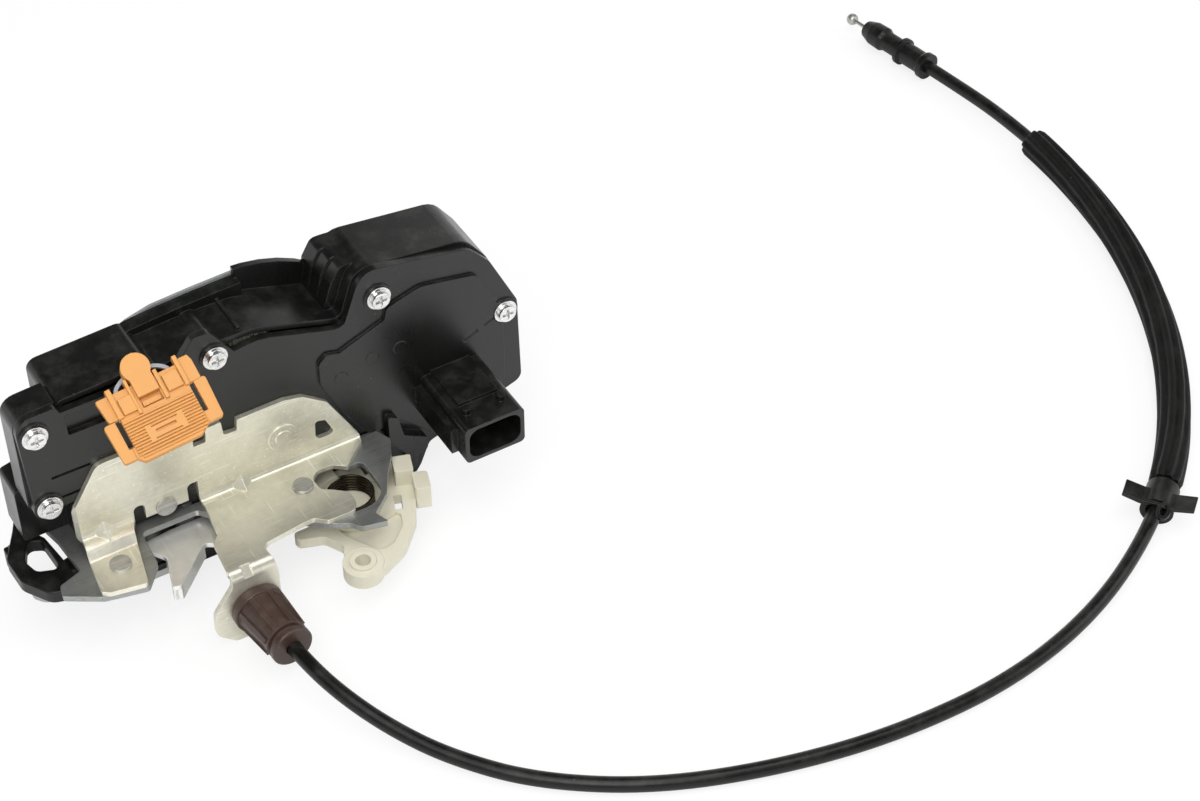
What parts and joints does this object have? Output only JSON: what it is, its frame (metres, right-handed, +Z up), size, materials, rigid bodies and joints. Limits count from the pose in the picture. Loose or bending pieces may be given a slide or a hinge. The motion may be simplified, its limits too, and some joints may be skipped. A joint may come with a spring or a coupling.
{
  "type": "door latch actuator",
  "caption": "Vehicle door latch with bent sheet frame, fork bolt and pawl, power lock housing with connector, handle lever and a sheathed release cable.",
  "frame": {"origin": "centre of the footprint of the latch and housing on the surface they stand on, cable left out", "axes": "+X along the housing towards the connector end, +Y from the cover to the back, +Z up"},
  "size_m": [0.4726, 0.3459, 0.109],
  "materials": {
    "housing_plastic": "moulded, fine satin",
    "terminals": "tinned",
    "screws": "zinc plated",
    "zinc_sheet": "satin zinc plating",
    "grey_sheet": "dull zinc plating",
    "plain_steel": "dull zinc plating",
    "case_plastic": "moulded",
    "rubber_parts": "soft",
    "cream_plastic": "moulded, slightly translucent",
    "spring_wire": "dark oiled wire",
    "orange_plastic": "moulded",
    "grey_plastic": "moulded",
    "motor_can": "drawn steel",
    "gear_plastic": "moulded",
    "conduit_plastic": "smooth extruded",
    "sleeve_plastic": "fluted foam sleeve",
    "core_wire": "stranded wire",
    "ball_steel": "die cast",
    "brown_plastic": "moulded"
  },
  "bodies": {
    "latch": {"cable_clip": "case_plastic", "cable_conduit": "conduit_plastic", "cable_end_fitting": "case_plastic", "cable_fitting": "brown_plastic", "cable_sleeve": "sleeve_plastic", "cover_screws": "screws", "fishmouth_surround": "case_plastic", "fork_pin": "plain_steel", "frame_bracket": "zinc_sheet", "frame_plate": "grey_sheet", "front_cover": "housing_plastic", "knob_tether": "grey_plastic", "latch_case": "case_plastic", "lead_frame": "case_plastic", "lever_axle": "plain_steel", "lever_spring": "spring_wire", "lever_stud": "plain_steel", "lock_motor": "motor_can", "main_housing": "housing_plastic", "orange_retainer": "orange_plastic", "pawl_pin": "plain_steel", "plate_rivets": "zinc_sheet", "position_switch": "case_plastic", "release_pin": "zinc_sheet", "striker_bumper": "rubber_parts", "striker_plate": "plain_steel", "terminal_pins": "terminals", "wheel_axle": "plain_steel"},
    "fork": {"fork_bolt": "plain_steel", "fork_bolt_coat": "case_plastic"},
    "pawl": {"pawl": "plain_steel"},
    "release_lever": {"release_lever": "zinc_sheet"},
    "handle_lever": {"handle_lever": "cream_plastic"},
    "cable_core_latch_end": {"cable_core_latch_end": "core_wire"},
    "cable_core_far_end": {"cable_core": "core_wire", "ball_end": "ball_steel"},
    "worm_wheel": {"worm_wheel": "gear_plastic"},
    "worm": {"motor_worm": "gear_plastic"},
    "lock_lever": {"lock_lever": "cream_plastic"}
  },
  "joints": [
    {"name": "fork_turn", "type": "hinge", "parent": "latch", "child": "fork", "pos_m": [-0.064, 0.031, 0.019], "axis": [0, 0, 1], "range_deg": [0, 60], "stiffness_Nm_per_rad": 0.02},
    {"name": "release_turn", "type": "hinge", "parent": "latch", "child": "release_lever", "pos_m": [0.0022, 0.0042, 0.024], "axis": [0, 0, 1], "range_deg": [0, 14], "stiffness_Nm_per_rad": 0.05},
    {"name": "pawl_turn", "type": "hinge", "parent": "latch", "child": "pawl", "pos_m": [-0.049, 0.026, 0.019], "axis": [0, 0, -1], "range_deg": [0, 12]},
    {"name": "cable_pull_latch_end", "type": "slide", "parent": "latch", "child": "cable_core_latch_end", "axis": [0, -1, 0], "range_m": [0, 0.0085]},
    {"name": "cable_pull_far_end", "type": "slide", "parent": "latch", "child": "cable_core_far_end", "axis": [-0.1636, 0.9865, 0], "range_m": [0, 0.0085]},
    {"name": "handle_lever_turn", "type": "hinge", "parent": "latch", "child": "handle_lever", "pos_m": [0.0182, -0.0016, 0.016], "axis": [0, 0, -1], "range_deg": [0, 18], "stiffness_Nm_per_rad": 0.06},
    {"name": "worm_wheel_turn", "type": "hinge", "parent": "latch", "child": "worm_wheel", "pos_m": [-0.002, 0.0335, 0.0556], "axis": [0, 1, 0], "range_deg": [-60, 60]},
    {"name": "worm_turn", "type": "hinge", "parent": "latch", "child": "worm", "pos_m": [0.022, 0.0335, 0.082], "axis": [1, 0, 0], "range_deg": [-2641, 2641]},
    {"name": "lock_lever_turn", "type": "hinge", "parent": "latch", "child": "lock_lever", "pos_m": [-0.036, 0.0245, 0.052], "axis": [0, 1, 0], "range_deg": [-15, 15]}
  ],
  "couplings": [
    {"joint": "pawl_turn", "follows": "release_turn", "ratio": 0.85},
    {"joint": "cable_pull_latch_end", "follows": "release_turn", "m_per_rad": 0.033},
    {"joint": "cable_pull_far_end", "follows": "release_turn", "m_per_rad": 0.033},
    {"joint": "worm_turn", "follows": "worm_wheel_turn", "ratio": 44},
    {"joint": "lock_lever_turn", "follows": "worm_wheel_turn", "ratio": -0.24}
  ]
}
